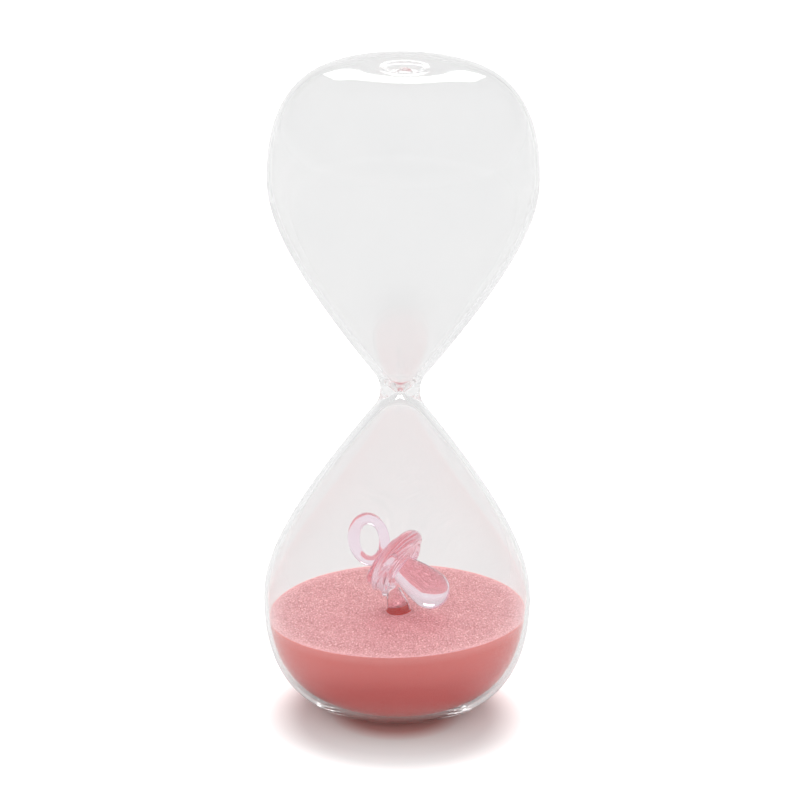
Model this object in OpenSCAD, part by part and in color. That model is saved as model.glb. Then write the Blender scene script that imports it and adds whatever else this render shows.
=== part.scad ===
// Blown-glass sand timer: two sealed bulbs joined at a solid waist, a sand bed in the
// lower bulb, and a lampworked dummy (pacifier) on a clear stem standing in the sand.
// Millimetres, +Z up, origin in the middle of the base.

/* [Glass] */
// Overall height, from the base to the crown
overall_h = 163; // [161:0.5:167]
// Outer radius of each bulb at its widest ring
bulb_r = 33; // [32:0.5:34.5]
// Wall thickness at the widest ring
wall = 1; // [0.8:0.1:1.2]
// Thickness of the base and of the crown
floor_t = 1.8; // [1.5:0.1:2.2]
// Outer radius of the flat ring that the timer stands on
foot_r = 12; // [11:0.5:13]
// Height of the shallow punt in each end
punt_h = 1.2; // [0.8:0.1:1.5]
// Outer radius of the waist
waist_r = 4.9; // [4.5:0.1:5.5]
// Radius of the orifice that the sand runs through
orifice_r = 0.8; // [0.6:0.1:1.1]

/* [Sand] */
// Height of the sand's surface above the base, on the axis
sand_level = 23.8; // [22.5:0.1:24.5]
// Slope of the sand's surface, down towards -X
sand_slope = 2; // [0:0.5:3]
// Clearance between the sand bed and the glass
sand_gap = 0.3; // [0.2:0.05:0.4]

/* [Stem] */
// Radius of the clear stem where it leaves the sand
stem_r = 2.8; // [2.4:0.1:3]

/* [Dummy] */
// Height of the guard's centre above the sand
dummy_rise = 13.1; // [12.6:0.1:14]
// Angle of the dummy's axis below the horizontal, teat down
dummy_dip = 26.8; // [20:0.1:28]
// Turn of the dummy about the vertical
dummy_turn = -29.2; // [-60:0.1:30]
// Radius of the guard
guard_r = 8.7; // [8:0.1:9]
// Thickness of the guard
guard_t = 4.4; // [3.8:0.1:4.8]
// Largest radius of the teat
teat_r = 4.85; // [4.4:0.05:5]
// Length of the teat, from the guard to its tip
teat_len = 14; // [12.5:0.5:14.5]
// Mean radius of the ring handle
ring_r = 5.3; // [4.9:0.1:5.6]
// Radius of the ring handle's rod
ring_rod_r = 1.3; // [1.1:0.05:1.5]

/* [Hidden] */

$fn = 96;

half_h = overall_h / 2;
clear_of = 5;            // how far a cutting shape reaches past what it cuts

// The outline of one bulb, in radius and height above the middle of the waist.
widest_h = half_h - 27.3;  // height of the widest ring
shoulder_in = 10;        // how far the end runs on flat before the shoulder turns
shoulder_up = 21.8;      // how far the side runs on upright before the shoulder turns
belly = 7.2;             // how far the side runs down upright before the cone turns
cone_angle = 37.7;       // the cone's outer half angle
cone_pull = 40;          // how far the cone holds its direction
waist_fillet = 7.2;      // radius of the hollow round the outside of the waist
throat_angle = 39.4;     // the cone's inner half angle, down to the orifice
throat_h = 0.5;          // half the length of the orifice
throat_pull = 39;        // how far the inner cone holds its direction

// The waist is its own gather of glass, as high as its fillet.
waist_h = waist_fillet * sin(cone_angle);
waist_top_r = waist_r + waist_fillet * (1 - cos(cone_angle));
throat_top_r = orifice_r + (waist_h - throat_h) * tan(throat_angle);

// Each end is a dished disc, closed on to its bulb.
end_h = 3.8;             // depth of the disc
punt_flat_r = 3.4;       // radius of the punt's flat middle
punt_r = 9;              // radius where the punt meets the end's flat ring
seal_r = 1.7;
seal_h = 1;

// The stem is straight to its collar, then leans and tapers to its tip in the dummy.
stem_x = 0.4;            // the stem stands this far off the axis
stem_collar_h = 1.2;     // height of the collar above the sand
stem_tip_r = 1.3;
stem_tip = [-1.8, 0, sand_level + 7.1];

dummy_x = -0.5;          // the guard's centre stands this far off the axis
wraps = 3;               // turns of glass wound on to make the guard
wrap_r = guard_t / wraps / 2;
wrap_step = 0.3;         // each wrap is this much smaller than the one behind it
teat_flare = 10.5;       // half angle of the teat's sides
teat_drop = 0.5;         // the teat starts this far below the guard's centre
ring_offset = 8.6;       // from the guard's centre to the ring's
ring_lean = 17.4;        // the ring leans this far out of the dummy's axis
weld_r = 1.9;            // the bead that welds the ring to the guard

curve_steps = 20;
arc_steps = 8;

// The point at t on a cubic curve from a to d, with handles b and c
function bezier(a, b, c, d, t) =
    pow(1 - t, 3) * a + 3 * t * pow(1 - t, 2) * b + 3 * t * t * (1 - t) * c + pow(t, 3) * d;

// Points along the curve; first = 1 leaves out a point that the outline already has
function bezier_path(a, b, c, d, first = 0) =
    [for (i = [first : curve_steps]) bezier(a, b, c, d, i / curve_steps)];

function arc_path(centre, r, from, to) =
    [for (i = [0 : arc_steps])
        let (angle = from + (to - from) * i / arc_steps)
        centre + r * [cos(angle), sin(angle)]];

function reversed(path) = [for (i = [len(path) - 1 : -1 : 0]) path[i]];

function mirrored(path) = [for (p = path) [p[0], -p[1]]];

// How far the punt stands in from the end at radius r
function punt(r) =
    r <= punt_flat_r ? punt_h :
    r >= punt_r ? 0 :
    punt_h * (1 + cos(180 * (r - punt_flat_r) / (punt_r - punt_flat_r))) / 2;

// The punt's outline at height h, from the axis out
function punt_path(h) = concat(
    [[0, h - punt_h]],
    [for (i = [0 : arc_steps])
        let (r = punt_flat_r + (punt_r - punt_flat_r) * i / arc_steps)
        [r, h - punt(r)]]);

// Outer skin of a bulb, from the crown's axis down to the waist
function outer_path() = concat(
    punt_path(half_h),
    bezier_path([foot_r, half_h],
                [foot_r + shoulder_in, half_h],
                [bulb_r, widest_h + shoulder_up],
                [bulb_r, widest_h]),
    bezier_path([bulb_r, widest_h],
                [bulb_r, widest_h - belly],
                [waist_top_r, waist_h] + cone_pull * [sin(cone_angle), cos(cone_angle)],
                [waist_top_r, waist_h], first = 1));

// A bulb's end and shoulder, thick under the outer skin
function lining_path(gap) = concat(
    punt_path(half_h - floor_t - gap),
    bezier_path([foot_r - wall - gap, half_h - floor_t - gap],
                [foot_r + shoulder_in - 1.5 * wall - gap, half_h - floor_t - gap],
                [bulb_r - wall - gap, widest_h + shoulder_up - wall],
                [bulb_r - wall - gap, widest_h]));

// Inner skin of a bulb, from the crown's axis down to the throat
function inner_path() = concat(
    lining_path(0),
    bezier_path([bulb_r - wall, widest_h],
                [bulb_r - wall, widest_h - belly],
                [throat_top_r, waist_h] + throat_pull * [sin(throat_angle), cos(throat_angle)],
                [throat_top_r, waist_h], first = 1));

// One bulb with its end, standing on the waist
module whole_bulb() {
    rotate_extrude() polygon(concat(outer_path(), reversed(inner_path())));
}

module slab(low, high) {
    translate([0, 0, low]) cylinder(r = bulb_r + clear_of, h = high - low);
}

// These two put what is made above the waist's middle in the upper and the lower place
module above_waist() {
    translate([0, 0, half_h]) children();
}

module below_waist() {
    translate([0, 0, half_h]) mirror([0, 0, 1]) children();
}

module bulb_alone() {
    intersection() {
        whole_bulb();
        slab(0, half_h - end_h);
    }
}

module end_alone() {
    intersection() {
        whole_bulb();
        slab(half_h - end_h, half_h + clear_of);
    }
}

module upper_bulb() {
    color("white", 0.35) above_waist() bulb_alone();
}

module lower_bulb() {
    color("white", 0.35) below_waist() bulb_alone();
}

module crown() {
    color("white", 0.35) above_waist() end_alone();
}

module base() {
    color("white", 0.35) below_waist() end_alone();
}

// The solid waist, with a cone down to the orifice from either side
module waist() {
    outside = arc_path([waist_r + waist_fillet, 0], waist_fillet,
                       180 - cone_angle, 180 + cone_angle);
    throat = [[throat_top_r, waist_h], [orifice_r, throat_h]];
    color("white", 0.35) above_waist() rotate_extrude()
        polygon(concat(outside, mirrored(throat), reversed(throat)));
}

// The button of glass that closes the hole the sand was poured in by
module crown_seal() {
    rim = arc_path([seal_r - seal_h / 2, seal_h / 2], seal_h / 2, -90, 90);
    color("white", 0.5) translate([0, 0, overall_h - punt_h]) rotate_extrude()
        polygon(concat([[0, 0]], rim, [[0, seal_h]]));
}

// The bed fills the base up to its level, clear of the glass and of the stem
module sand_bed() {
    reach = 2 * bulb_r;
    color("lightcoral") difference() {
        below_waist() rotate_extrude()
            polygon(concat(lining_path(sand_gap), [[0, widest_h]]));
        translate([0, 0, sand_level]) rotate([0, -sand_slope, 0])
            translate([-reach, -reach, 0]) cube([2 * reach, 2 * reach, reach]);
        translate([stem_x, 0, 0]) cylinder(r = stem_r + sand_gap, h = half_h);
    }
}

// A clear rod fused to the base, which leans and tapers to the dummy above the sand
module stem() {
    foot_h = floor_t + punt_h;
    collar = sand_level + stem_collar_h;
    color("white", 0.5) union() {
        translate([stem_x, 0, foot_h]) cylinder(r = stem_r, h = collar - foot_h);
        hull($fn = 32) {
            translate([stem_x, 0, collar]) cylinder(r = stem_r, h = 0.1, $fn = 32);
            translate(stem_tip) sphere(r = stem_tip_r, $fn = 32);
        }
    }
}

// The dummy's own frame: origin in the middle of its guard, +Z along its axis to the teat
module dummy_frame() {
    translate([dummy_x, 0, sand_level + dummy_rise]) rotate([0, 90 + dummy_dip, dummy_turn])
        children();
}

// Three wraps of glass side by side, each a little smaller than the one behind it
module guard() {
    rims = [for (i = [0 : wraps - 1])
        each arc_path([guard_r - wrap_r - i * wrap_step, (2 * i + 1) * wrap_r - guard_t / 2],
                      wrap_r, -90, 90)];
    color("pink", 0.7) dummy_frame() rotate_extrude()
        polygon(concat([[0, -guard_t / 2]], rims, [[0, guard_t / 2]]));
}

// A cone that flares from the guard and closes in a round tip
module teat() {
    bulb_h = teat_len - teat_r;
    base_r = teat_r * cos(teat_flare)
        - (bulb_h - teat_r * sin(teat_flare)) * tan(teat_flare);
    tip = arc_path([0, bulb_h], teat_r, -teat_flare, 90);
    color("pink", 0.7) dummy_frame() translate([teat_drop, 0, guard_t / 2]) rotate_extrude()
        polygon(concat([[0, 0], [base_r, 0]], tip));
}

// The ring behind the guard, with the bead that welds it on
module ring_handle() {
    color("pink", 0.7) dummy_frame() difference() {
        union() {
            translate([0, 0, -ring_offset]) rotate([90 + ring_lean, 0, 0]) rotate_extrude()
                translate([ring_r, 0]) circle(r = ring_rod_r, $fn = 48);
            translate([0, -ring_r * sin(ring_lean), -guard_t / 2]) sphere(r = weld_r);
        }
        translate([0, 0, -guard_t / 2]) cylinder(r = guard_r, h = clear_of);
    }
}

base();
lower_bulb();
waist();
upper_bulb();
crown();
crown_seal();
sand_bed();
stem();
guard();
teat();
ring_handle();
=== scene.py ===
"""The looks of a glass sand timer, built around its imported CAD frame.

The glass is one closed shell, and the dummy is one closed shape with its stem, because light
that passes through touching solids would show every seam between them. Lengths in the shape
code are millimetres in the part's frame, and meshes are made in metres.
"""

import math

import bpy
import numpy as np
from mathutils import Matrix, Vector


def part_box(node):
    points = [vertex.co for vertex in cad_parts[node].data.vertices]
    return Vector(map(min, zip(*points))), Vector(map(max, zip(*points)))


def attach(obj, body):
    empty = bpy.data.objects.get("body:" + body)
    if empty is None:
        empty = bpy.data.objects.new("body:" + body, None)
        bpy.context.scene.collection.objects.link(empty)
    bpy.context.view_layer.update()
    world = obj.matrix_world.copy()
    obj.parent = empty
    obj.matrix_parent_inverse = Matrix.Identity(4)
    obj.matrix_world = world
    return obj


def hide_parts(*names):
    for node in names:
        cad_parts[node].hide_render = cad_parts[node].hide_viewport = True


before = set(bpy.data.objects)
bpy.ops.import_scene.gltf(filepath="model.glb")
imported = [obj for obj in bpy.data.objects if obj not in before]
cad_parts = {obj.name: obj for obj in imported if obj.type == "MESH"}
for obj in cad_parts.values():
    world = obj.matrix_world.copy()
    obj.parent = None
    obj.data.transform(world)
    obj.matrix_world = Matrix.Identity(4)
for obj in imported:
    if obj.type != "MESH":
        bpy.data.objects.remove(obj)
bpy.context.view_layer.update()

MM = 0.001


def node_box(node):
    """A CAD node's box, in millimetres."""
    low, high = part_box(node)
    return np.array(low) / MM, np.array(high) / MM


# The bulbs. Heights in the shell's outlines are measured up from the waist's middle.
HEIGHT = node_box("crown")[1][2]
HALF = HEIGHT / 2
BULB_R = node_box("upper_bulb")[1][0]
WALL = 1.0
WIDEST = 54.2                   # the height of a bulb's widest ring
BELLY = 7.2                     # the outline's pull below that ring
SHOULDER_UP = 21.8              # its pull above that ring
SHOULDER_IN = 10.0              # its pull where it comes in to the flat ring at the end
LINING_UP = SHOULDER_UP - 0.75 * WALL
LINING_IN = SHOULDER_IN - 0.9 * WALL

# The two ends: a flat ring round a dish. The crown has a smaller dish, a gentle dome round it
# and the bead of glass that closes the filling hole. The base has fine rings round its foot.
FLOOR_T = 1.25
FOOT_R = 12.0
PUNT_R, PUNT_FLAT_R, PUNT_H = 9.0, 3.4, 1.2
CROWN_DISH_R, CROWN_DISH_FLAT_R = 6.0, 1.8
DOME_H, DOME_FROM, DOME_RISE, DOME_FALL = 0.1, 7.6, 6.5, 11.0
SEAL_R, SEAL_H, SEAL_INSIDE = 1.7, 1.0, 0.75
FOOT_RING_H, FOOT_RING_PITCH, FOOT_RINGS_END = 0.04, 1.9, 23.0

# The waist, its orifice and the cones of glass on both sides of it.
WAIST_TOP_R = node_box("waist")[1][0]
WAIST_H = node_box("upper_bulb")[0][2] - HALF
CONE, CONE_PULL, FILLET = math.radians(37.7), 40.0, 7.2
THROAT, THROAT_PULL, THROAT_H = math.radians(39.4), 39.0, 0.5
ORIFICE_R, ORIFICE_STRAIGHT, ORIFICE_LIP, ORIFICE_ROUND = 0.8, 0.6, 0.08, 0.35
THROAT_TOP_R = ORIFICE_R + (WAIST_H - THROAT_H) * math.tan(THROAT)

# How finely the shell's outlines are divided along each stretch, and round the axis.
AROUND = 220
FILLET_POINTS, BODY_STEPS, SHOULDER_STEPS = 10, 50, 48
THROAT_POINTS, LINING_BODY_STEPS, LINING_SHOULDER_STEPS = 7, 36, 26
FOOT_POINTS, PUNT_POINTS = 4, 18

# Blown glass is never quite round: each skin has a slow ripple, in millimetres.
WAVE_LOBES, WAVE_CLIMB, WAVE_DAMPING = (1, 2, 3, 3, 4), 0.16, 0.4
OUTER_WAVE, OUTER_SEED = 0.02, 3
INNER_WAVE, INNER_SEED = 0.035, 8

# The sand.
SAND_LEVEL = 23.8
SAND_SLOPE = math.radians(2)

# The stem, which narrows and leans to the dummy above the sand.
STEM_X = 0.4
STEM_R = 2.8
STEM_FOOT = node_box("stem")[0][2] + 0.05
STEM_BEND_FROM = SAND_LEVEL + 0.3
STEM_TIP = np.array([-1.8, 0, SAND_LEVEL + 7.1])
STEM_TIP_R = 1.3
STEM_END = 0.8                  # how far it runs on into the guard
DRIP_TOP, DRIP_TOP_R = (-3.0, -0.9, 29.6), 0.6
DRIP_LOW, DRIP_LOW_R = (-3.1, -1.0, 28.4), 0.7

# The dummy: origin in the middle of its guard, +Z along its axis to the teat, and +X to its
# lower side.
DUMMY_ORIGIN = np.array([-0.5, 0, SAND_LEVEL + 13.1])
DUMMY_DIP, DUMMY_TURN = math.radians(27.8), math.radians(-29.2)
TEAT_R, TEAT_LEN, TEAT_FLARE = 4.85, 14.0, math.radians(10.5)
TEAT_START, TEAT_ROOT, TEAT_DROP = 2.2, 0.4, 0.5
TEAT_BULB = TEAT_LEN - TEAT_R   # where its round tip begins
TEAT_NARROWING = 0.93           # the part of the flare's narrowing that its neck has
TEAT_NECK_R = TEAT_R - TEAT_BULB * math.tan(TEAT_FLARE) * TEAT_NARROWING
RING_R, RING_ROD_R, RING_SWELL = 5.3, 1.3, 0.3
RING_OFFSET, RING_LEAN = 8.6, math.radians(17.4)
WELD_R = 1.9

# The guard: a core with a round rim that thins towards its lower end, and a rod wound on it.
GUARD_R = 8.7
CORE_FLAT_R, CORE_FLAT_H, CORE_ROUND = 6.2, 0.9, 0.85
RIM_R, RIM_OUT, RIM_H, RIM_THINNING = 2.1, 0.35, 0.1, 0.8

# The rod, along which places are counted in turns.
WRAPS = 4                       # turns that are modelled
WRAPS_MIDDLE = 1.5              # the turn that lies in the guard's middle plane
WRAPS_BEFORE_END, WRAPS_IN_ALL = 2.75, 3.75         # where it starts to run in, and its end
WRAP_ROD_R, WRAP_ROD_MORE = 0.80, 0.17              # its radius, and what the lower end adds
WRAP_PITCH, WRAP_PITCH_MORE = 1.0, 0.72             # the same for the step between turns
WRAP_IN = 1.0                   # how far in from GUARD_R the first turn lies,
WRAP_IN_EACH = 0.15             # and what is added by each turn,
WRAP_IN_TOP = 0.75              # at the guard's upper end,
WRAP_IN_END = 2.6               # and by each turn of running in


# ---------------------------------------------------------------- meshes

def mesh_object(name, verts, faces):
    """A smooth mesh object from points in millimetres and faces."""
    mesh = bpy.data.meshes.new(name)
    mesh.from_pydata((np.asarray(verts) * MM).tolist(), [], faces)
    mesh.validate()
    mesh.polygons.foreach_set("use_smooth", [True] * len(mesh.polygons))
    mesh.update()
    obj = bpy.data.objects.new(name, mesh)
    bpy.context.scene.collection.objects.link(obj)
    return obj


def bezier(a, b, c, d, steps):
    """Points along a cubic curve, its ends included."""
    t = np.linspace(0, 1, steps + 1)[:, None]
    a, b, c, d = (np.array(p, float) for p in (a, b, c, d))
    return (1 - t) ** 3 * a + 3 * t * (1 - t) ** 2 * b + 3 * t * t * (1 - t) * c + t ** 3 * d


def join_paths(*paths):
    """One path from several that meet end to end."""
    out = [np.asarray(paths[0], float)]
    for p in paths[1:]:
        p = np.asarray(p, float)
        out.append(p[1:] if np.allclose(p[0], out[-1][-1], atol=1e-6) else p)
    return np.vstack(out)


def circle(steps):
    """The cosines and sines of equal steps round a circle."""
    angle = np.linspace(0, 2 * math.pi, steps, endpoint=False)
    return np.cos(angle), np.sin(angle)


def lathe(path, inward=False):
    """Vertices and faces of a path (radius, height) that starts and ends on the axis."""
    ring = path[1:-1]
    xy = np.column_stack(circle(AROUND))
    verts = [np.array([[0, 0, path[0][1]]])]
    verts += [np.column_stack([xy * r, np.full(AROUND, z)]) for r, z in ring]
    verts += [np.array([[0, 0, path[-1][1]]])]
    last = 1 + len(ring) * AROUND
    faces = []
    for j in range(AROUND):
        k = (j + 1) % AROUND
        faces.append((0, 1 + k, 1 + j))
        for i in range(len(ring) - 1):
            a = 1 + i * AROUND
            faces.append((a + j, a + k, a + AROUND + k, a + AROUND + j))
        a = 1 + (len(ring) - 1) * AROUND
        faces.append((a + j, a + k, last))
    if inward:
        faces = [f[::-1] for f in faces]
    return np.vstack(verts), faces


def set_values(obj, **values):
    """Values that the mesh carries at its points, for the materials."""
    for name, value in values.items():
        attribute = obj.data.attributes.new(name, "FLOAT", "POINT")
        attribute.data.foreach_set("value", value.astype(np.float32))


def merge(*parts):
    """Several (vertices, faces) as one."""
    verts, faces, start = [], [], 0
    for v, f in parts:
        verts.append(v)
        faces += [tuple(i + start for i in q) for q in f]
        start += len(v)
    return np.vstack(verts), faces


# ---------------------------------------------------------------- the glass shell

def dish(r, flat, edge):
    """How far a dished end stands in at radius r."""
    t = np.clip((r - flat) / (edge - flat), 0, 1)
    return PUNT_H * (1 + np.cos(math.pi * t)) / 2


def punt(r):
    """The base's dish."""
    return dish(r, PUNT_FLAT_R, PUNT_R)


def punt_path(h, edge):
    """The dished end at height h, from its edge to the axis."""
    r = np.concatenate([np.linspace(edge, PUNT_R, FOOT_POINTS)[:-1],
                        np.linspace(PUNT_R, 0, PUNT_POINTS)])
    return np.column_stack([r, h - punt(r)])


def outer_half():
    """The outer skin from the waist's middle to the axis at the top."""
    turn = np.linspace(math.pi, math.pi - CONE, FILLET_POINTS)
    centre = WAIST_TOP_R + FILLET * math.cos(CONE)
    arc = np.column_stack([centre + FILLET * np.cos(turn), FILLET * np.sin(turn)])
    pull = CONE_PULL * np.array([math.sin(CONE), math.cos(CONE)])
    body = bezier(arc[-1], arc[-1] + pull,
                  (BULB_R, WIDEST - BELLY), (BULB_R, WIDEST), BODY_STEPS)
    shoulder = bezier((BULB_R, WIDEST), (BULB_R, WIDEST + SHOULDER_UP),
                      (FOOT_R + SHOULDER_IN, HALF), (FOOT_R, HALF), SHOULDER_STEPS)
    return join_paths(arc, body, shoulder, punt_path(HALF, FOOT_R))


def lining():
    """The inner skin's shoulder and end, from its widest ring to the axis."""
    r, h = BULB_R - WALL, HALF - FLOOR_T
    shoulder = bezier((r, WIDEST), (r, WIDEST + LINING_UP),
                      (FOOT_R + LINING_IN, h), (FOOT_R - WALL, h), LINING_SHOULDER_STEPS)
    return join_paths(shoulder, punt_path(h, FOOT_R - WALL))


def inner_half():
    """The inner skin from the orifice's middle to the axis at the top."""
    r = BULB_R - WALL
    pull = THROAT_PULL * np.array([math.sin(THROAT), math.cos(THROAT)])
    top = np.array([THROAT_TOP_R, WAIST_H])
    orifice = [(ORIFICE_R, 0), (ORIFICE_R, THROAT_H * ORIFICE_STRAIGHT),
               (ORIFICE_R + ORIFICE_LIP, THROAT_H)]
    throat = np.linspace((ORIFICE_R + ORIFICE_ROUND, THROAT_H + ORIFICE_ROUND), top,
                         THROAT_POINTS)
    body = bezier(top, top + pull, (r, WIDEST - BELLY), (r, WIDEST), LINING_BODY_STEPS)
    return join_paths(orifice, throat, body, lining())


def whole(half):
    """A path that runs from the axis at the bottom to the axis at the top."""
    down = (half * [1, -1])[::-1]
    return join_paths(down, half) + [0, HALF]


def seal_bead(r):
    """The drop of glass that closes the filling hole, as added height at radius r."""
    t = np.clip(r / SEAL_R, 0, 1)
    return SEAL_H * np.sqrt(1 - t ** 3)


def crown_lift(verts, bead):
    """The crown's own shape against the base's, as added height: a smaller dish, a gentle
    dome round it, and a part of the seal's bead."""
    r = np.hypot(verts[:, 0], verts[:, 1])
    out = np.clip(r - DOME_FROM, 0, None)
    lift = punt(r) - dish(r, CROWN_DISH_FLAT_R, CROWN_DISH_R)
    lift -= DOME_H * (out / DOME_RISE) ** 2 / (1 + (out / DOME_FALL) ** 6)
    return np.where(verts[:, 2] > HALF + WIDEST, lift + bead * seal_bead(r), 0)


def foot_rings(verts):
    """Fine rings left round the foot by the turning, as added height."""
    r = np.hypot(verts[:, 0], verts[:, 1])
    fade = np.clip((r - FOOT_R - 1) / 2, 0, 1) * np.clip((FOOT_RINGS_END - r) / 3, 0, 1)
    rings = FOOT_RING_H * (1 - np.cos(2 * math.pi * (r - FOOT_R) / FOOT_RING_PITCH)) / 2
    return np.where(verts[:, 2] < HALF / 4, rings * fade, 0)


def wave(verts, amount, seed):
    """Moves the points by a skin's slow ripple, which fades out towards the axis."""
    rng = np.random.default_rng(seed)
    angle = np.arctan2(verts[:, 1], verts[:, 0])
    r = np.hypot(verts[:, 0], verts[:, 1])
    total = np.zeros(len(verts))
    for lobes in WAVE_LOBES:
        phase = rng.uniform(0, 2 * math.pi)
        climb = rng.uniform(-WAVE_CLIMB, WAVE_CLIMB)
        total += np.sin(lobes * angle + climb * verts[:, 2] + phase) / (1 + WAVE_DAMPING * lobes)
    fade = np.clip(r / FOOT_R, 0, 1) ** 2
    scale = 1 + amount * total * fade / np.maximum(r, 1)
    verts[:, :2] *= scale[:, None]


def make_shell():
    outer_verts, outer_faces = lathe(whole(outer_half()))
    inner_verts, inner_faces = lathe(whole(inner_half()), inward=True)
    outer_verts[:, 2] += crown_lift(outer_verts, 1)
    outer_verts[:, 2] += foot_rings(outer_verts)
    inner_verts[:, 2] += crown_lift(inner_verts, SEAL_INSIDE)
    wave(outer_verts, OUTER_WAVE, OUTER_SEED)
    wave(inner_verts, INNER_WAVE, INNER_SEED)
    verts, faces = merge((outer_verts, outer_faces), (inner_verts, inner_faces))
    return mesh_object("glass_shell", verts, faces)


# ---------------------------------------------------------------- the sand

SAND_TURNS, SAND_RINGS, SAND_SIDE_RINGS = 480, 116, 44
SIDE_CROWDING = 1.15            # brings the side's rings closer together near the rim
GRAIN, GRAIN_SEED = 0.03, 11
SAND_GAP, HOLE_GAP = 0.10, 0.25                     # to the glass, and to the stem
HOLE_R = STEM_R + HOLE_GAP
HOLE_PARTS = (0, 0.2, 0.4, 0.6, 0.8, 0.9, 0.993)    # rings up the hole, as parts of its height
SWELL_FADE = 4.0                # over this distance from the glass the swells die out
DIP_H, DIP_REACH = 0.25, 1.5
HEAP_AT, HEAP_H, HEAP_SPREAD = (5.0, -5.5), 0.30, 5.0
PAINTED_RIM_LIGHT_BAND = 3.5                  # the width of the painted highlight that makes the sand's top paler along the glass


def relief(x, y):
    """The poured sand's own unevenness: low swells, a dip at the stem and a small heap."""
    swell = (0.16 * np.sin(0.30 * x + 0.12 * y + 0.6) * np.cos(0.23 * y - 0.8)
             + 0.10 * np.sin(0.52 * y + 0.21 * x + 2.1)
             + 0.07 * np.sin(0.71 * x - 0.45 * y + 4.0))
    edge = np.clip((BULB_R - WALL - np.hypot(x, y)) / SWELL_FADE, 0, 1)
    past_hole = np.clip(np.hypot(x - STEM_X, y) - HOLE_R, 0, None)
    dip = DIP_H * np.exp(-past_hole / DIP_REACH)
    heap = HEAP_H * np.exp(-((x - HEAP_AT[0]) ** 2 + (y - HEAP_AT[1]) ** 2) / HEAP_SPREAD)
    return swell * edge - dip + heap


def sand_top(x, y):
    """The height of the sand's surface."""
    return SAND_LEVEL + math.tan(SAND_SLOPE) * x + relief(x, y)


def sand_wall():
    """The sand's outline against the glass, from near the axis at the bottom up, as
    (radius, z), and which of its points are well up the side."""
    path = lining()
    path = np.column_stack([path[:, 0] - SAND_GAP, HALF - path[:, 1] + SAND_GAP])
    past_widest = (BULB_R - WALL - SAND_GAP, HALF - WIDEST + 1.0)
    wall = np.vstack([path[path[:, 0] > 0][::-1], past_widest])
    return wall, wall[:, 1] > SAND_LEVEL * 0.6


def sand_rim(wall, upper, ca, sa):
    """Where the sand's surface meets its wall, as radii and heights round the axis, found
    from a first guess in a few passes."""
    rim_r = np.full(SAND_TURNS, BULB_R - 1.5)
    for _ in range(6):
        rim_z = sand_top(rim_r * ca, rim_r * sa)
        rim_r = np.interp(rim_z, wall[upper, 1], wall[upper, 0])
    return rim_r, rim_z


def top_rows(rim_r, ca, sa):
    """Rings of the sand's surface from the hole to the rim, uneven by its grains."""
    rng = np.random.default_rng(GRAIN_SEED)
    hole_x, hole_y = STEM_X + HOLE_R * ca, HOLE_R * sa
    rows = []
    for i in range(SAND_RINGS + 1):
        t = i / SAND_RINGS
        x = hole_x + (rim_r * ca - hole_x) * t
        y = hole_y + (rim_r * sa - hole_y) * t
        z = sand_top(x, y)
        if 0 < i < SAND_RINGS:
            z = z + rng.normal(0, GRAIN, SAND_TURNS).clip(-2 * GRAIN, 2 * GRAIN)
            x = x + rng.normal(0, GRAIN, SAND_TURNS)
            y = y + rng.normal(0, GRAIN, SAND_TURNS)
        rows.append(np.column_stack([x, y, z]))
    return rows


def side_rows(wall, upper, rim_z, ca, sa):
    """Rings of the sand against the glass, from below the rim to the foot of the hole."""
    length = np.concatenate([[0], np.cumsum(np.linalg.norm(np.diff(wall, axis=0), axis=1))])
    rim_length = np.interp(rim_z, wall[upper, 1], length[upper])
    foot_length = np.interp(PUNT_FLAT_R + 0.6, wall[~upper, 0], length[~upper])
    rows = []
    for i in range(1, SAND_SIDE_RINGS + 1):
        t = (i / SAND_SIDE_RINGS) ** SIDE_CROWDING
        at = rim_length + (foot_length - rim_length) * t
        r, z = np.interp(at, length, wall[:, 0]), np.interp(at, length, wall[:, 1])
        rows.append(np.column_stack([r * ca, r * sa, z]))
    return rows


def hole_rows(low, top, ca, sa):
    """Rings up the wall of the stem's hole."""
    x, y = STEM_X + HOLE_R * ca, HOLE_R * sa
    return [np.column_stack([x, y, low + (top - low) * part]) for part in HOLE_PARTS]


def make_sand():
    ca, sa = circle(SAND_TURNS)
    wall, upper = sand_wall()
    rim_r, rim_z = sand_rim(wall, upper, ca, sa)
    rows = top_rows(rim_r, ca, sa)
    rows += side_rows(wall, upper, rim_z, ca, sa)
    rows += hole_rows(wall[0, 1], rows[0][:, 2], ca, sa)
    verts, count = np.vstack(rows), len(rows)
    faces = []
    for i in range(count):
        a, b = i * SAND_TURNS, ((i + 1) % count) * SAND_TURNS
        for j in range(SAND_TURNS):
            k = (j + 1) % SAND_TURNS
            faces.append((a + j, b + j, b + k, a + k))
    obj = mesh_object("sand", verts, faces)
    ring = np.repeat(np.arange(count), SAND_TURNS)
    from_rim = np.tile(rim_r, count) - np.hypot(verts[:, 0], verts[:, 1])
    set_values(obj,
               against_glass=np.clip(ring - SAND_RINGS + 1, 0, 1),
               # depth: how far down the side, for the side's painted light
               depth=np.clip((np.tile(rim_z, count) - verts[:, 2]) / SAND_LEVEL, 0, 1),
               # rim: where the top gets its painted highlight along the glass
               rim=np.clip(1 - from_rim / PAINTED_RIM_LIGHT_BAND, 0, 1),
               # hole: the wall of the stem's hole, which gets painted shade
               hole=np.clip(ring - SAND_RINGS - SAND_SIDE_RINGS, 0, 1))
    return obj


# ---------------------------------------------------------------- the dummy

def turn_matrix():
    """The dummy's axes as columns, in the part's frame."""
    dip = Matrix.Rotation(math.pi / 2 + DUMMY_DIP, 3, "Y")
    return np.array(Matrix.Rotation(DUMMY_TURN, 3, "Z") @ dip)


def blend_min(a, b, soft):
    """The union of two distance fields, with a fillet about as wide as soft."""
    h = np.clip(0.5 + 0.5 * (b - a) / soft, 0, 1)
    return b + (a - b) * h - soft * h * (1 - h)


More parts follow.
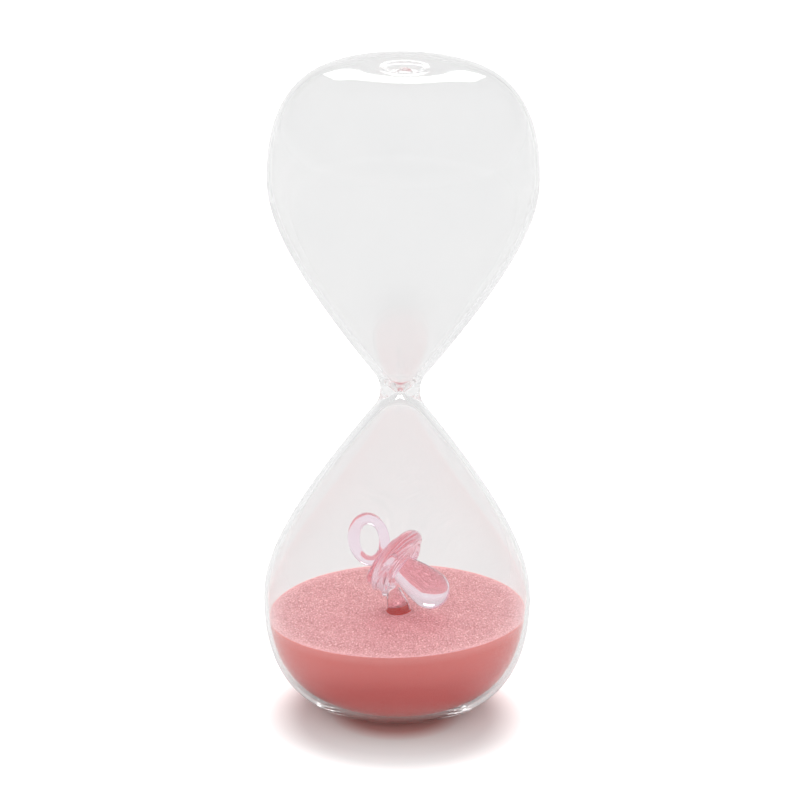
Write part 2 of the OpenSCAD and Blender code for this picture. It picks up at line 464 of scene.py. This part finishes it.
def capsule(p, a, b, ra, rb):
    """Distance to a rod from a to b whose radius runs from ra to rb."""
    a, b = np.array(a, float), np.array(b, float)
    along = b - a
    t = np.clip((p - a) @ along / (along @ along), 0, 1)
    return np.linalg.norm(p - a - t[:, None] * along, axis=1) - (ra + (rb - ra) * t)


def ring_field(q):
    """Distance to the ring handle, whose rod is a little thicker away from the guard."""
    axis = np.array([0, -math.cos(RING_LEAN), -math.sin(RING_LEAN)])
    d = q - np.array([0, 0, -RING_OFFSET])
    h = d @ axis
    far = np.clip(-d[:, 2] / RING_R, 0, 1)
    across = np.linalg.norm(d - h[:, None] * axis, axis=1) - RING_R
    return np.hypot(across, h) - RING_ROD_R - RING_SWELL * far


def wrap_field(rho, z, wrap, turn, lower_end):
    """Distance to one turn of the rod wound on the guard. The turns stand apart and are
    thicker at the guard's lower end, and the last one runs in towards the axis."""
    whole_turn = wrap + turn
    inwards = np.clip(whole_turn - WRAPS_BEFORE_END, 0, 1.1)
    at_rho = (GUARD_R - WRAP_IN - WRAP_IN_EACH * wrap
              - WRAP_IN_TOP * (1 - lower_end) - WRAP_IN_END * inwards)
    pitch = WRAP_PITCH + WRAP_PITCH_MORE * lower_end
    at_z = pitch * (np.minimum(whole_turn, WRAPS_BEFORE_END) - WRAPS_MIDDLE)
    thick = WRAP_ROD_R + WRAP_ROD_MORE * lower_end
    thick = thick * np.clip(whole_turn / 0.12 + 0.35, 0, 1)
    thick = thick * np.clip((WRAPS_IN_ALL - whole_turn) / 0.35, 0.15, 1)
    return np.hypot(rho - at_rho, z - at_z) - thick


def guard_field(q):
    """Distance to the guard, with its wraps."""
    rho, z = np.hypot(q[:, 0], q[:, 1]), q[:, 2]
    angle = np.arctan2(q[:, 1], q[:, 0])
    lower_end = 0.5 + 0.5 * np.cos(angle)
    body = np.hypot(np.clip(rho - CORE_FLAT_R, 0, None),
                    np.clip(np.abs(z) - CORE_FLAT_H, 0, None)) - CORE_ROUND
    rim_r = RIM_R * (1 - RIM_THINNING * lower_end)
    rim = np.hypot(rho - (GUARD_R + RIM_OUT - rim_r), z - RIM_H) - rim_r
    body = blend_min(body, rim, 0.5)
    turn = ((angle / (2 * math.pi)) + 0.5) % 1.0
    for wrap in range(WRAPS):
        body = blend_min(body, wrap_field(rho, z, wrap, turn, lower_end), 0.18)
    return body


def teat_field(q):
    """Distance to the teat: its neck swells smoothly into a half ball."""
    rho, z = np.hypot(q[:, 0], q[:, 1]), q[:, 2]
    swell = TEAT_R - TEAT_NECK_R
    u = np.clip(z / TEAT_BULB, 0, 1) * math.pi / 2
    radius = TEAT_NECK_R + swell * np.sin(u)
    slope = swell * np.cos(u) * math.pi / 2 / TEAT_BULB
    side = np.maximum((rho - radius) / np.sqrt(1 + slope ** 2), -TEAT_ROOT - z)
    return np.where(z > TEAT_BULB, np.hypot(rho, z - TEAT_BULB) - TEAT_R, side)


def stem_field(p):
    """Distance to the stem, which narrows and leans over smoothly above the sand."""
    z = p[:, 2]
    bend = np.clip((z - STEM_BEND_FROM) / (STEM_TIP[2] - STEM_BEND_FROM), 0, 1) ** 1.5
    rho = np.hypot(p[:, 0] - STEM_X - (STEM_TIP[0] - STEM_X) * bend, p[:, 1])
    side = rho - STEM_R - (STEM_TIP_R - STEM_R) * bend
    return np.maximum(side, np.maximum(z - STEM_TIP[2] - STEM_END, STEM_FOOT - z))


def dummy_field(p):
    """Distance to the dummy and its stem, in the part's frame, in millimetres."""
    q = (p - DUMMY_ORIGIN) @ turn_matrix()
    teat = teat_field(q - (TEAT_DROP, 0, TEAT_START))
    weld_at = np.array([0, -RING_R * math.sin(RING_LEAN), -TEAT_START])
    weld = np.linalg.norm(q - weld_at, axis=1) - WELD_R
    field = blend_min(guard_field(q), teat, 0.9)
    field = blend_min(field, blend_min(ring_field(q), weld, 0.7), 0.5)
    drip = capsule(p, DRIP_TOP, DRIP_LOW, DRIP_TOP_R, DRIP_LOW_R)
    stem = blend_min(stem_field(p), drip, 0.3)
    return blend_min(field, stem, 0.9)


def edge_crossings(grid, value, axis, step):
    """For the grid's edges along an axis: whether the surface crosses them, whether they
    start inside it, and where it crosses."""
    starts = range(value.shape[axis] - 1)
    a = np.take(value, starts, axis)
    b = np.take(value, range(1, value.shape[axis]), axis)
    cross = (a < 0) != (b < 0)
    at = np.take(grid, starts, axis)
    at[..., axis] += np.where(cross, a / np.where(cross, a - b, 1), 0) * step
    return cross, a < 0, at


def crossed_quads(cross, starts_inside, axis, index):
    """A face round each crossed edge, between the four cells that share it."""
    u, v = (axis + 1) % 3, (axis + 2) % 3
    found = np.argwhere(cross)
    found = found[(found[:, u] > 0) & (found[:, v] > 0)
                  & (found[:, u] < cross.shape[u] - 1) & (found[:, v] < cross.shape[v] - 1)]
    corner = []
    for du, dv in ((-1, -1), (0, -1), (0, 0), (-1, 0)):
        at = found.copy()
        at[:, u] += du
        at[:, v] += dv
        corner.append(index[at[:, 0], at[:, 1], at[:, 2]])
    quad = np.stack(corner, 1)
    outward = starts_inside[found[:, 0], found[:, 1], found[:, 2]]
    quad[~outward] = quad[~outward][:, ::-1]
    return quad


def settle(field, verts):
    """The points moved onto the surface where field is 0, in three steps down its slope."""
    probe = 0.02
    for _ in range(3):
        slope = np.stack([field(verts + d) - field(verts - d)
                          for d in np.eye(3) * probe], 1) / (2 * probe)
        size = np.maximum((slope ** 2).sum(1), 0.3)
        verts = verts - (field(verts) / size)[:, None] * slope
    return verts


def polygonise(field, low, high, step):
    """A closed mesh of the surface where field is 0: one vertex in each cell that it crosses."""
    axes = [np.arange(a, b + step, step) for a, b in zip(low, high)]
    grid = np.stack(np.meshgrid(*axes, indexing="ij"), -1)
    shape = grid.shape[:3]
    value = np.concatenate([field(g.reshape(-1, 3)) for g in grid]).reshape(shape)
    cells = tuple(n - 1 for n in shape)
    total, count = np.zeros(cells + (3,)), np.zeros(cells)
    crossings = []
    for axis in range(3):
        cross, starts_inside, at = edge_crossings(grid, value, axis, step)
        crossings.append((cross, starts_inside))
        u, v = [i for i in range(3) if i != axis]
        for du, dv in ((0, 0), (0, 1), (1, 0), (1, 1)):
            part = [slice(None)] * 3
            part[u] = slice(du, shape[u] - 1 + du)
            part[v] = slice(dv, shape[v] - 1 + dv)
            part = tuple(part)
            total += np.where(cross[part][..., None], at[part], 0)
            count += cross[part]
    used = count > 0
    index = -np.ones(cells, int)
    index[used] = np.arange(used.sum())
    quads = [crossed_quads(cross, starts_inside, axis, index)
             for axis, (cross, starts_inside) in enumerate(crossings)]
    verts = settle(field, total[used] / count[used][:, None])
    return verts, np.vstack(quads).tolist()


def make_dummy():
    """The dummy with its stem. Its points know where the clear stem, the ring's thin rod and
    the guard are."""
    step = 0.22
    margin = 0.9
    boxes = [node_box(n) for n in ("guard", "teat", "ring_handle", "stem")]
    low = np.min([b[0] for b in boxes], axis=0) - margin
    high = np.max([b[1] for b in boxes], axis=0) + margin
    verts, faces = polygonise(dummy_field, low, high, step)
    obj = mesh_object("glass_dummy", verts, faces)
    along = ((verts - DUMMY_ORIGIN) @ turn_matrix())[:, 2]
    from_stem = np.hypot(verts[:, 0] - STEM_X, verts[:, 1])
    near_stem = (from_stem < STEM_R + 1.6) & (along < 4.5)
    stem = np.clip((STEM_TIP[2] - 0.8 - verts[:, 2]) / 2.5, 0, 1)
    set_values(obj,
               clear=np.where(near_stem, stem, 0),
               thin=np.clip((-1.6 - along) / 1.6, 0, 1),
               guard=np.clip((2.7 - np.abs(along)) / 0.9, 0, 1))
    return obj


# ---------------------------------------------------------------- materials

GRAINS_PER_METRE = 5400


def new_material(name):
    material = bpy.data.materials.new(name)
    material.use_nodes = True
    material.node_tree.nodes.clear()
    return material, material.node_tree.nodes, material.node_tree.links


def noise(nodes, links, scale, detail=3.0):
    """Object-space noise; scale is in cycles per metre."""
    where = nodes.new("ShaderNodeTexCoord")
    texture = nodes.new("ShaderNodeTexNoise")
    texture.inputs["Scale"].default_value = scale
    texture.inputs["Detail"].default_value = detail
    links.new(where.outputs["Object"], texture.inputs["Vector"])
    return texture.outputs["Fac"]


def ramp(nodes, links, source, stops):
    """Colours along a value, from (position, colour) pairs."""
    node = nodes.new("ShaderNodeValToRGB")
    while len(node.color_ramp.elements) < len(stops):
        node.color_ramp.elements.new(0.5)
    for element, (at, colour) in zip(node.color_ramp.elements, stops):
        element.position = at
        element.color = (*colour, 1)
    links.new(source, node.inputs["Fac"])
    return node.outputs["Color"]


def feed(links, colour, socket):
    """Gives a colour socket a fixed colour or a link."""
    if isinstance(colour, tuple):
        socket.default_value = (*colour, 1)
    else:
        links.new(colour, socket)


def mix_colour(nodes, links, fac, a, b):
    """Colour a where fac is 0, and colour b where it is 1."""
    node = nodes.new("ShaderNodeMix")
    node.data_type = "RGBA"
    links.new(fac, node.inputs["Factor"])
    colours = [socket for socket in node.inputs if socket.type == "RGBA"]
    feed(links, a, colours[0])
    feed(links, b, colours[1])
    return [socket for socket in node.outputs if socket.type == "RGBA"][0]


def vector_math(nodes, links, operation, source, other):
    """A link's vector, worked on with a fixed vector or with another link."""
    node = nodes.new("ShaderNodeVectorMath")
    node.operation = operation
    links.new(source, node.inputs[0])
    if isinstance(other, tuple):
        node.inputs[1].default_value = other
    else:
        links.new(other, node.inputs[1])
    return node


def value_of(nodes, name):
    """A value that the mesh carries, by its name."""
    node = nodes.new("ShaderNodeAttribute")
    node.attribute_name = name
    return node.outputs["Fac"]


def bump(nodes, links, height, strength, distance):
    """Normals of a fine relief; distance is its depth in metres."""
    node = nodes.new("ShaderNodeBump")
    node.inputs["Strength"].default_value = strength
    node.inputs["Distance"].default_value = distance
    links.new(height, node.inputs["Height"])
    return node.outputs["Normal"]


def surface(nodes, links, shader):
    """Makes the shader the material's surface."""
    output = nodes.new("ShaderNodeOutputMaterial")
    links.new(shader.outputs[0], output.inputs["Surface"])


def polished_glass(nodes, ior):
    """A clear shader with a sharp surface."""
    shader = nodes.new("ShaderNodeBsdfPrincipled")
    shader.inputs["Roughness"].default_value = 0.0
    shader.inputs["IOR"].default_value = ior
    shader.inputs["Transmission Weight"].default_value = 1.0
    return shader


def let_lamps_through(nodes, links, shader, tint):
    """Glass to the eye, tinted clear film to lamps, which can't find a way through glass."""
    path = nodes.new("ShaderNodeLightPath")
    either = nodes.new("ShaderNodeMath")
    either.operation = "MAXIMUM"
    links.new(path.outputs["Is Shadow Ray"], either.inputs[0])
    links.new(path.outputs["Is Diffuse Ray"], either.inputs[1])
    film = nodes.new("ShaderNodeBsdfTransparent")
    feed(links, tint, film.inputs["Color"])
    mix = nodes.new("ShaderNodeMixShader")
    links.new(either.outputs[0], mix.inputs["Fac"])
    links.new(shader.outputs[0], mix.inputs[1])
    links.new(film.outputs[0], mix.inputs[2])
    surface(nodes, links, mix)


def clear_glass():
    material, nodes, links = new_material("clear_blown_glass")
    shader = polished_glass(nodes, 1.48)
    grey = ramp(nodes, links, noise(nodes, links, 45), [(0.3, (0.968, 0.970, 0.972)),
                                                       (0.7, (0.980, 0.980, 0.980))])
    links.new(grey, shader.inputs["Base Color"])
    let_lamps_through(nodes, links, shader, (0.985, 0.985, 0.985))
    return material


def pink_glass():
    """Streaky pink glass, deeper in the guard, paler in the ring, and clear in the stem."""
    material, nodes, links = new_material("pink_lampworked_glass")
    shader = polished_glass(nodes, 1.5)
    streaks = ramp(nodes, links, noise(nodes, links, 300, 2.0), [(0.35, (0.97, 0.76, 0.84)),
                                                                (0.65, (0.985, 0.88, 0.95))])
    pink = mix_colour(nodes, links, value_of(nodes, "guard"), streaks, (0.965, 0.68, 0.76))
    pink = mix_colour(nodes, links, value_of(nodes, "thin"), pink, (0.99, 0.87, 0.96))
    clear = value_of(nodes, "clear")
    colour = mix_colour(nodes, links, clear, pink, (0.99, 0.98, 0.98))
    links.new(colour, shader.inputs["Base Color"])
    ripples = bump(nodes, links, noise(nodes, links, 300, 1.0), 0.06, 0.0002)
    links.new(ripples, shader.inputs["Normal"])
    film = mix_colour(nodes, links, clear, (0.93, 0.76, 0.80), (0.99, 0.96, 0.96))
    let_lamps_through(nodes, links, shader, film)
    return material


def sand_material():
    """Dyed sand: speckled on top, with painted glints and a painted highlight along the glass,
    and even and deeper against the glass, with painted light down its side and painted shade in
    the stem's hole.
    """
    material, nodes, links = new_material("dyed_sand")
    shader = nodes.new("ShaderNodeBsdfPrincipled")
    where = nodes.new("ShaderNodeTexCoord")
    grains = nodes.new("ShaderNodeTexVoronoi")
    grains.inputs["Scale"].default_value = GRAINS_PER_METRE
    links.new(where.outputs["Object"], grains.inputs["Vector"])
    grain = nodes.new("ShaderNodeSeparateColor")
    links.new(grains.outputs["Color"], grain.inputs["Color"])
    # Grain tone that differs at random; the rare near-white grains at its top are painted glints,
    # which the roughness below also makes glossy.
    inner = ramp(nodes, links, grain.outputs["Red"], [(0.0, (0.31, 0.10, 0.105)),
                                                      (0.5, (0.50, 0.20, 0.21)),
                                                      (0.96, (0.74, 0.37, 0.38)),
                                                      (0.985, (1.0, 0.70, 0.68))])
    # The top's painted highlight along the glass, paler than the grains further in.
    outer = ramp(nodes, links, grain.outputs["Red"], [(0.0, (0.46, 0.18, 0.19)),
                                                      (0.97, (0.80, 0.43, 0.44))])
    top = mix_colour(nodes, links, value_of(nodes, "rim"), inner, outer)
    # Down the side, the colour stands in for light: paler at the top edge, deepest part way down
    # and lighter again low down, as painted light.
    side = ramp(nodes, links, value_of(nodes, "depth"), [(0.0, (0.87, 0.255, 0.235)),
                                                         (0.10, (0.78, 0.158, 0.142)),
                                                         (0.40, (0.71, 0.125, 0.115)),
                                                         (0.75, (0.84, 0.155, 0.145))])
    # Painted shade: a darker, deeper red on the wall of the stem's hole.
    side = mix_colour(nodes, links, value_of(nodes, "hole"), side, (0.80, 0.085, 0.05))
    colour = mix_colour(nodes, links, value_of(nodes, "against_glass"), top, side)
    links.new(colour, shader.inputs["Base Color"])
    rough = ramp(nodes, links, grain.outputs["Green"], [(0.0, (0.85,) * 3), (0.9, (0.6,) * 3),
                                                        (0.97, (0.2,) * 3)])
    links.new(rough, shader.inputs["Roughness"])
    shader.inputs["Specular IOR Level"].default_value = 0.35
    facets = bump(nodes, links, grains.outputs["Distance"], 0.6, 0.0001)
    links.new(facets, shader.inputs["Normal"])
    surface(nodes, links, shader)
    return material


# ---------------------------------------------------------------- the studio

# Lengths are metres and angles are radians. Every lamp and the surroundings are plain white,
# and the surroundings' brightness is given as a part of full white.
LOOK_AT = Vector((0, 0, 0.07877))
CAMERA_DISTANCE = 1.227
CAMERA_ELEVATION = 0.332
CAMERA_ROLL = 0.0142
CAMERA_LENS = 225.8             # millimetres, on a sensor 36 mm wide
FLOOR_SIDE, FLOOR_DROP = 9.0, 0.0001
FLOOR_TO_EYE = 1.12
FLOOR_IN_GLASS = 0.56
BACKDROP_TO_EYE = 1.1
BACKDROP, BACKDROP_TOP = 0.87, 0.06         # near the horizon, up to this height of a ray
ROOM, ROOM_FROM = 0.78, 0.16                # above it
SKY = 0.83                                  # what lights the floor and the sand
# The centre and reach of the floor's painted red shadow round the base, and how it is squeezed.
PAINTED_SHADOW_AT, PAINTED_SHADOW_REACH, PAINTED_SHADOW_SQUEEZE = (0, -0.009, 0), 0.045, 1.1      # squeezed along X
MOST_BOUNCES = 400


def make_camera():
    data = bpy.data.cameras.new("camera")
    data.lens = CAMERA_LENS
    data.sensor_width = 36
    data.clip_end = 30
    camera = bpy.data.objects.new("camera", data)
    back = Vector((0, -math.cos(CAMERA_ELEVATION), math.sin(CAMERA_ELEVATION)))
    camera.location = LOOK_AT + back * CAMERA_DISTANCE
    aim = (-back).to_track_quat("-Z", "Y").to_matrix()
    camera.rotation_euler = (aim @ Matrix.Rotation(CAMERA_ROLL, 3, "Z")).to_euler()
    bpy.context.scene.collection.objects.link(camera)
    bpy.context.scene.camera = camera


def from_painted_shadow_centre(nodes, links):
    """Distance from the centre of the floor's painted red shadow, as a part of its reach."""
    where = nodes.new("ShaderNodeTexCoord").outputs["Object"]
    squeezed = vector_math(nodes, links, "MULTIPLY", where, (PAINTED_SHADOW_SQUEEZE, 1, 1))
    away = vector_math(nodes, links, "DISTANCE", squeezed.outputs["Vector"], PAINTED_SHADOW_AT)
    part = nodes.new("ShaderNodeMath")
    part.operation = "DIVIDE"
    part.inputs[1].default_value = PAINTED_SHADOW_REACH
    links.new(away.outputs["Value"], part.inputs[0])
    return part.outputs[0]


def floor_material():
    """A white floor with a painted shadow round the base, dark and red next to it, and painted
    light under the base in what the glass shows. It is brighter to the eye than in the glass, so
    that it shows white and the glass shows grey."""
    material, nodes, links = new_material("floor")
    path = nodes.new("ShaderNodeLightPath")
    shader = nodes.new("ShaderNodeBsdfDiffuse")
    part = from_painted_shadow_centre(nodes, links)
    # Painted shadow: dark and red next to the base, nearly grey further out, and white beyond its
    # reach.
    painted_red_shadow = ramp(nodes, links, part, [(0.27, (0.58, 0.405, 0.38)),
                                         (0.40, (0.72, 0.775, 0.765)),
                                         (0.587, (0.75, 0.78, 0.78)),
                                         (0.842, (0.96, 0.97, 0.97)),
                                         (1.0, (1.0, 1.0, 1.0))])
    # Painted light: to rays other than the eye's, the floor just round the base is brighter than
    # the rest of it.
    in_glass_with_painted_light = ramp(nodes, links, part, [(0.35, (1.0,) * 3), (0.55, (FLOOR_IN_GLASS,) * 3)])
    shade = mix_colour(nodes, links, path.outputs["Is Camera Ray"], in_glass_with_painted_light,
                       (FLOOR_TO_EYE,) * 3)
    colour = vector_math(nodes, links, "MULTIPLY", shade, painted_red_shadow)
    links.new(colour.outputs["Vector"], shader.inputs["Color"])
    surface(nodes, links, shader)
    return material


def make_floor():
    z = -FLOOR_DROP / MM
    s = FLOOR_SIDE / 2 / MM
    floor = mesh_object("floor", [(-s, -s, z), (s, -s, z), (s, s, z), (-s, s, z)], [(0, 1, 2, 3)])
    floor.data.materials.append(floor_material())


def make_world():
    """A white backdrop to the eye and near the horizon, and a dimmer room above it."""
    world = bpy.data.worlds.new("studio")
    world.use_nodes = True
    nodes, links = world.node_tree.nodes, world.node_tree.links
    nodes.clear()
    where = nodes.new("ShaderNodeTexCoord")
    split = nodes.new("ShaderNodeSeparateXYZ")
    links.new(where.outputs["Generated"], split.inputs[0])
    room = ramp(nodes, links, split.outputs["Z"], [(BACKDROP_TOP, (BACKDROP,) * 3),
                                                   (ROOM_FROM, (ROOM,) * 3)])
    path = nodes.new("ShaderNodeLightPath")
    colour = mix_colour(nodes, links, path.outputs["Is Diffuse Ray"], room, (SKY,) * 3)
    colour = mix_colour(nodes, links, path.outputs["Is Camera Ray"], colour,
                        (BACKDROP_TO_EYE,) * 3)
    background = nodes.new("ShaderNodeBackground")
    links.new(colour, background.inputs["Color"])
    output = nodes.new("ShaderNodeOutputWorld")
    links.new(background.outputs[0], output.inputs["Surface"])
    bpy.context.scene.world = world


def panel(name, azimuth, elevation, distance, width, height, radiance):
    """A softbox that faces the timer. Azimuth 0 is behind it, as the camera sees it."""
    data = bpy.data.lights.new(name, "AREA")
    data.shape = "RECTANGLE"
    data.size, data.size_y = width, height
    data.energy = radiance * math.pi * width * height
    light = bpy.data.objects.new(name, data)
    a, e = math.radians(azimuth), math.radians(elevation)
    away = Vector((math.sin(a) * math.cos(e), math.cos(a) * math.cos(e), math.sin(e)))
    light.location = away * distance + Vector((0, 0, HALF * MM))
    light.rotation_euler = away.to_track_quat("Z", "Y").to_euler()
    bpy.context.scene.collection.objects.link(light)


def bank(name, tilt, energy):
    """A wide bank of light, tilted from straight overhead about X and then Y."""
    data = bpy.data.lights.new(name, "SUN")
    data.energy = energy
    data.angle = math.radians(45)
    light = bpy.data.objects.new(name, data)
    light.rotation_euler = (math.radians(tilt[0]), math.radians(tilt[1]), 0)
    light.visible_glossy = False
    light.visible_transmission = False
    bpy.context.scene.collection.objects.link(light)


def make_lights():
    panel("back_softbox", azimuth=0, elevation=23.9, distance=2.84, width=1.2, height=0.60,
          radiance=1.9)
    bank("key", tilt=(-42, 0), energy=2.6)
    bank("left_fill", tilt=(-12, -60), energy=0.45)
    bank("right_fill", tilt=(-12, 60), energy=0.45)


def set_light_paths():
    """Enough bounces for light that is guided along the glass wall to get out of it."""
    cycles = bpy.context.scene.cycles
    cycles.max_bounces = MOST_BOUNCES
    cycles.transmission_bounces = MOST_BOUNCES
    cycles.glossy_bounces = MOST_BOUNCES
    cycles.diffuse_bounces = 5
    cycles.transparent_max_bounces = 48


# ---------------------------------------------------------------- the scene

def dress(obj, material, body, slot, *nodes):
    """Gives a piece its material and its body, and hides the CAD nodes that it stands for. The
    slot is not used.
    """
    obj.data.materials.append(material)
    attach(obj, body)
    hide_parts(*nodes)


dress(make_shell(), clear_glass(), "glass", "clear_glass",
      "base", "lower_bulb", "waist", "upper_bulb", "crown", "crown_seal")
dress(make_dummy(), pink_glass(), "glass", "pink_glass",
      "stem", "guard", "teat", "ring_handle")
dress(make_sand(), sand_material(), "sand", "sand", "sand_bed")

make_floor()
make_world()
make_lights()
make_camera()
set_light_paths()
bpy.context.scene.view_settings.view_transform = "Standard"
